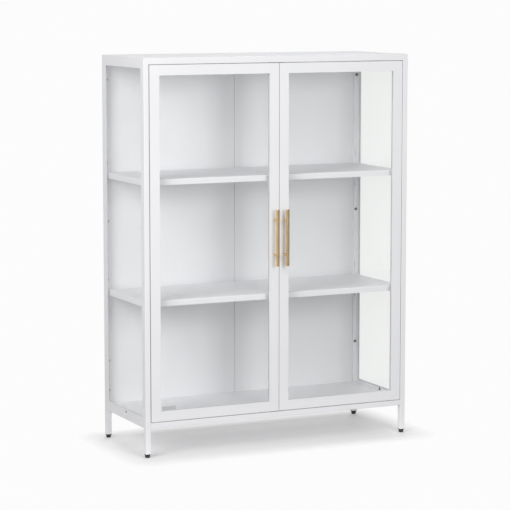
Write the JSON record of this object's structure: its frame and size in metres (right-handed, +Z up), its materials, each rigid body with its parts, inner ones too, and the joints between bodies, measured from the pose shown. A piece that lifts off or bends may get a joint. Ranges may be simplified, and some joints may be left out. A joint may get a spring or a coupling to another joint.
{
  "type": "apothecary cabinet",
  "caption": "Freestanding white steel apothecary cabinet on short legs, with glazed sides, paired glazed doors with gold bar handles, and inner shelves.",
  "frame": {"origin": "on the floor, in the middle of the overall width and depth, door handles included", "axes": "+X is the cabinet's right as seen from the front, +Y is towards its back, +Z is up"},
  "size_m": [0.8, 0.333, 1.08],
  "materials": {
    "white_paint": "satin powder coat",
    "clear_glass": "polished",
    "gasket": "matte",
    "satin_gold": "satin",
    "dark_screw": "blackened",
    "zinc_steel": "zinc plated",
    "black_plastic": "matte",
    "white_plastic": "matte"
  },
  "bodies": {
    "case": {"back_panel_left": "white_paint", "back_panel_right": "white_paint", "back_seam_strip": "white_paint", "bottom_panel": "white_paint", "bottom_rail_front": "white_paint", "bottom_rail_left": "white_paint", "bottom_rail_rear": "white_paint", "bottom_rail_right": "white_paint", "glazing_frame_left": "white_paint", "glazing_frame_right": "white_paint", "leg_plugs": "black_plastic", "magnetic_catch": "white_plastic", "pivot_bushes_lower": "white_plastic", "pivot_bushes_upper": "white_plastic", "post_front_left": "white_paint", "post_front_right": "white_paint", "post_rear_left": "white_paint", "post_rear_right": "white_paint", "post_screws_left": "dark_screw", "post_screws_right": "dark_screw", "shelf_lower": "white_paint", "shelf_pegs_lower": "zinc_steel", "shelf_pegs_upper": "zinc_steel", "shelf_upper": "white_paint", "side_gasket_left": "gasket", "side_gasket_right": "gasket", "side_glass_left": "clear_glass", "side_glass_right": "clear_glass", "top_panel": "white_paint", "top_rail_front": "white_paint", "top_rail_left": "white_paint", "top_rail_rear": "white_paint", "top_rail_right": "white_paint"},
    "left_door": {"left_door_bottom_rail": "white_paint", "left_door_gasket": "gasket", "left_door_glass": "clear_glass", "left_door_handle_bar": "satin_gold", "left_door_handle_posts": "satin_gold", "left_door_handle_screws": "zinc_steel", "left_door_hinge_stile": "white_paint", "left_door_meeting_stile": "white_paint", "left_door_pivot_pins": "zinc_steel", "left_door_strike_plate": "zinc_steel", "left_door_top_rail": "white_paint"},
    "right_door": {"right_door_bottom_rail": "white_paint", "right_door_gasket": "gasket", "right_door_glass": "clear_glass", "right_door_handle_bar": "satin_gold", "right_door_handle_posts": "satin_gold", "right_door_handle_screws": "zinc_steel", "right_door_hinge_stile": "white_paint", "right_door_meeting_stile": "white_paint", "right_door_pivot_pins": "zinc_steel", "right_door_strike_plate": "zinc_steel", "right_door_top_rail": "white_paint"},
    "foot_front_left": {"foot_front_left": "black_plastic"},
    "foot_front_right": {"foot_front_right": "black_plastic"},
    "foot_rear_left": {"foot_rear_left": "black_plastic"},
    "foot_rear_right": {"foot_rear_right": "black_plastic"}
  },
  "joints": [
    {"name": "left_door_hinge", "type": "hinge", "parent": "case", "child": "left_door", "pos_m": [-0.369, -0.132, 0.579], "axis": [0, 0, -1], "range_deg": [0, 110]},
    {"name": "right_door_hinge", "type": "hinge", "parent": "case", "child": "right_door", "pos_m": [0.369, -0.132, 0.579], "axis": [0, 0, 1], "range_deg": [0, 110]},
    {"name": "foot_front_left_level", "type": "slide", "parent": "case", "child": "foot_front_left", "axis": [0, 0, -1], "range_m": [0, 0.01]},
    {"name": "foot_front_right_level", "type": "slide", "parent": "case", "child": "foot_front_right", "axis": [0, 0, -1], "range_m": [0, 0.01]},
    {"name": "foot_rear_left_level", "type": "slide", "parent": "case", "child": "foot_rear_left", "axis": [0, 0, -1], "range_m": [0, 0.01]},
    {"name": "foot_rear_right_level", "type": "slide", "parent": "case", "child": "foot_rear_right", "axis": [0, 0, -1], "range_m": [0, 0.01]}
  ]
}
